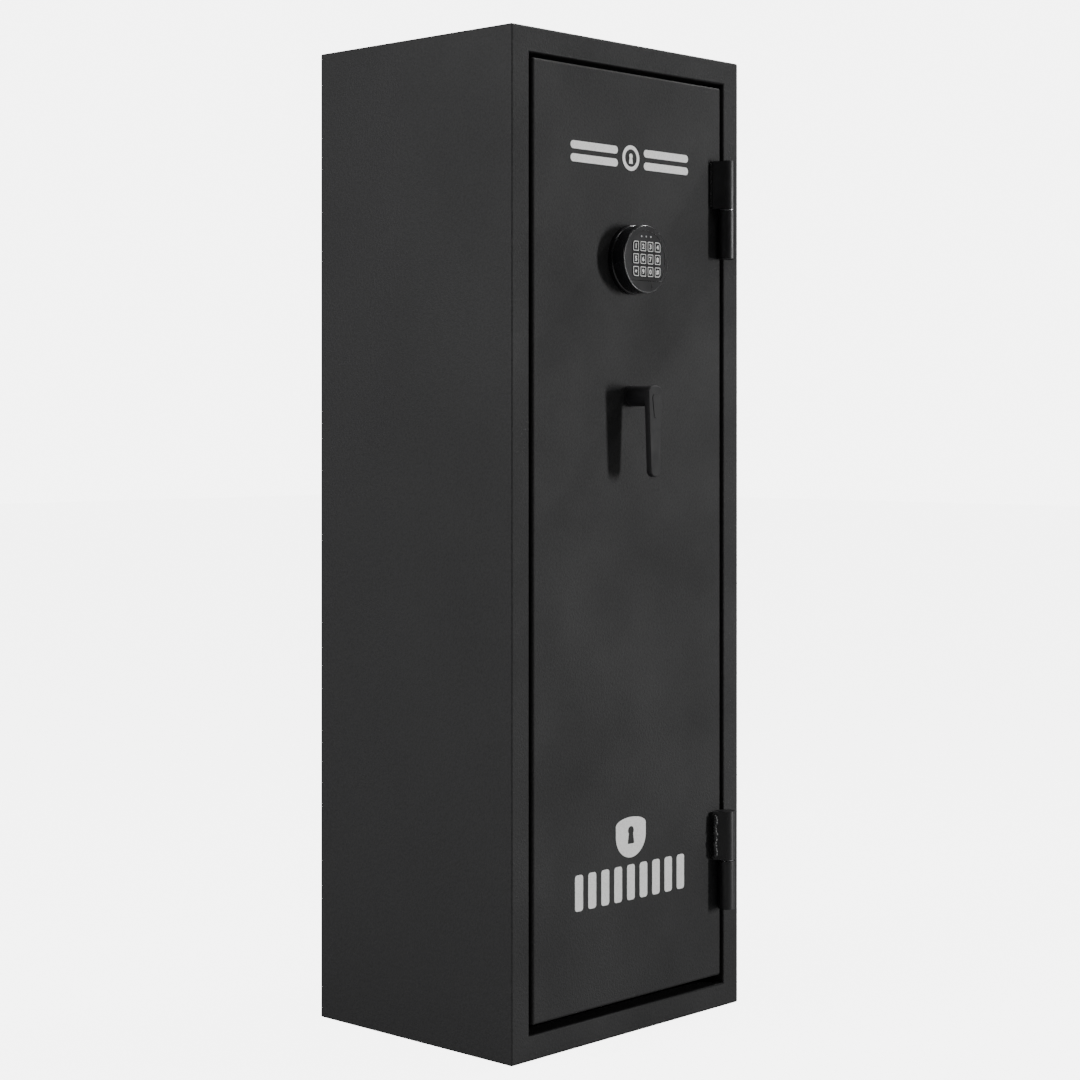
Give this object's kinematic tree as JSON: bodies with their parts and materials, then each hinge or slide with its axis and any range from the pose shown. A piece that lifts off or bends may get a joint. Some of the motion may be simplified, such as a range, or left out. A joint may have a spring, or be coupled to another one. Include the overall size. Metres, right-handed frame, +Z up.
{
  "type": "gun safe",
  "caption": "Tall black steel gun safe with a flush hinged door, round electronic keypad, drop lever handle, external barrel hinges, sliding bolts and a carpeted interior.",
  "frame": {"origin": "on the floor, at the centre of the cabinet's footprint without the keypad, lever and hinges", "axes": "+Z up, the door faces -Y, +X to the right of someone facing the door"},
  "size_m": [0.485, 0.431, 1.397],
  "materials": {
    "textured_paint": "fine textured black powder coat, semi-matte",
    "hinge_paint": "gloss black paint over welded steel",
    "zinc_plated_steel": "zinc plated",
    "chrome": "polished chrome plate",
    "black_zinc": "satin black over cast zinc",
    "black_plastic": "gloss black",
    "keypad_face": "satin black, printed key outlines",
    "key_rubber": "moulded, satin",
    "grey_carpet": "short pile carpet on fireboard",
    "moulded_rest": "dense foam-faced board",
    "seal_black": "matte",
    "plug_rubber": "matte",
    "circuit_board": "solder mask",
    "battery_case": "plain jacket"
  },
  "bodies": {
    "cabinet": {"body_shell": "textured_paint", "front_frame": "textured_paint", "back_panel": "textured_paint", "liner_floor": "grey_carpet", "liner_ceiling": "grey_carpet", "liner_back": "grey_carpet", "liner_left": "grey_carpet", "liner_right": "grey_carpet", "shelf": "grey_carpet", "shelf_cleat_left": "zinc_plated_steel", "shelf_cleat_right": "zinc_plated_steel", "barrel_rest": "moulded_rest", "frame_hinge_upper": "hinge_paint", "frame_hinge_lower": "hinge_paint", "hinge_pin_upper": "zinc_plated_steel", "hinge_pin_lower": "zinc_plated_steel", "anchor_plug_1": "plug_rubber", "anchor_plug_2": "plug_rubber", "anchor_plug_3": "plug_rubber", "anchor_plug_4": "plug_rubber"},
    "door": {"door_skin": "textured_paint", "door_box": "zinc_plated_steel", "boltwork_cover": "zinc_plated_steel", "door_liner": "grey_carpet", "fire_seal": "seal_black", "dead_bar": "zinc_plated_steel", "door_hinge_upper": "hinge_paint", "door_hinge_lower": "hinge_paint", "keypad_base": "black_plastic", "keypad_housing": "black_plastic", "keypad_face": "keypad_face", "keypad_circuit_board": "circuit_board", "battery": "battery_case", "keypad_lead": "plug_rubber", "led_left": "keypad_face", "led_middle": "keypad_face", "led_right": "keypad_face", "lock_body": "zinc_plated_steel", "handle_collar": "black_zinc"},
    "handle": {"handle_lever": "black_zinc", "handle_spindle": "zinc_plated_steel", "bolt_cam": "zinc_plated_steel"},
    "boltwork": {"bolt_carriage": "zinc_plated_steel", "bolt_upper": "chrome", "bolt_middle": "chrome", "bolt_lower": "chrome"},
    "lock_bolt": {"lock_bolt": "zinc_plated_steel"},
    "battery_cover": {"battery_cover": "black_plastic"},
    "key_1": {"key_1": "key_rubber"},
    "key_2": {"key_2": "key_rubber"},
    "key_3": {"key_3": "key_rubber"},
    "key_4": {"key_4": "key_rubber"},
    "key_5": {"key_5": "key_rubber"},
    "key_6": {"key_6": "key_rubber"},
    "key_7": {"key_7": "key_rubber"},
    "key_8": {"key_8": "key_rubber"},
    "key_star": {"key_star": "key_rubber"},
    "key_9": {"key_9": "key_rubber"},
    "key_0": {"key_0": "key_rubber"},
    "key_hash": {"key_hash": "key_rubber"}
  },
  "joints": [
    {"name": "door_swing", "type": "hinge", "parent": "cabinet", "child": "door", "pos_m": [0.199, -0.205, 0.7], "axis": [0, 0, 1], "range_deg": [0, 175]},
    {"name": "bolt_throw", "type": "slide", "parent": "door", "child": "boltwork", "axis": [-1, 0, 0], "range_m": [0, 0.025]},
    {"name": "handle_turn", "type": "hinge", "parent": "door", "child": "handle", "pos_m": [0, -0.192, 0.8993], "axis": [0, -1, 0], "range_deg": [0, 90]},
    {"name": "lock_bolt_drop", "type": "slide", "parent": "door", "child": "lock_bolt", "axis": [0, 0, -1], "range_m": [0, 0.012]},
    {"name": "battery_cover_slide", "type": "slide", "parent": "door", "child": "battery_cover", "axis": [0, 0, -1], "range_m": [0, 0.03]},
    {"name": "key_1_press", "type": "slide", "parent": "door", "child": "key_1", "axis": [0, 1, 0], "range_m": [0, 0.0008], "stiffness_N_per_m": 700},
    {"name": "key_2_press", "type": "slide", "parent": "door", "child": "key_2", "axis": [0, 1, 0], "range_m": [0, 0.0008], "stiffness_N_per_m": 700},
    {"name": "key_3_press", "type": "slide", "parent": "door", "child": "key_3", "axis": [0, 1, 0], "range_m": [0, 0.0008], "stiffness_N_per_m": 700},
    {"name": "key_4_press", "type": "slide", "parent": "door", "child": "key_4", "axis": [0, 1, 0], "range_m": [0, 0.0008], "stiffness_N_per_m": 700},
    {"name": "key_5_press", "type": "slide", "parent": "door", "child": "key_5", "axis": [0, 1, 0], "range_m": [0, 0.0008], "stiffness_N_per_m": 700},
    {"name": "key_6_press", "type": "slide", "parent": "door", "child": "key_6", "axis": [0, 1, 0], "range_m": [0, 0.0008], "stiffness_N_per_m": 700},
    {"name": "key_7_press", "type": "slide", "parent": "door", "child": "key_7", "axis": [0, 1, 0], "range_m": [0, 0.0008], "stiffness_N_per_m": 700},
    {"name": "key_8_press", "type": "slide", "parent": "door", "child": "key_8", "axis": [0, 1, 0], "range_m": [0, 0.0008], "stiffness_N_per_m": 700},
    {"name": "key_star_press", "type": "slide", "parent": "door", "child": "key_star", "axis": [0, 1, 0], "range_m": [0, 0.0008], "stiffness_N_per_m": 700},
    {"name": "key_9_press", "type": "slide", "parent": "door", "child": "key_9", "axis": [0, 1, 0], "range_m": [0, 0.0008], "stiffness_N_per_m": 700},
    {"name": "key_0_press", "type": "slide", "parent": "door", "child": "key_0", "axis": [0, 1, 0], "range_m": [0, 0.0008], "stiffness_N_per_m": 700},
    {"name": "key_hash_press", "type": "slide", "parent": "door", "child": "key_hash", "axis": [0, 1, 0], "range_m": [0, 0.0008], "stiffness_N_per_m": 700}
  ],
  "couplings": [
    {"joint": "handle_turn", "follows": "bolt_throw", "rad_per_m": 62.8},
    {"joint": "lock_bolt_drop", "follows": "bolt_throw", "ratio": 0.4794}
  ]
}
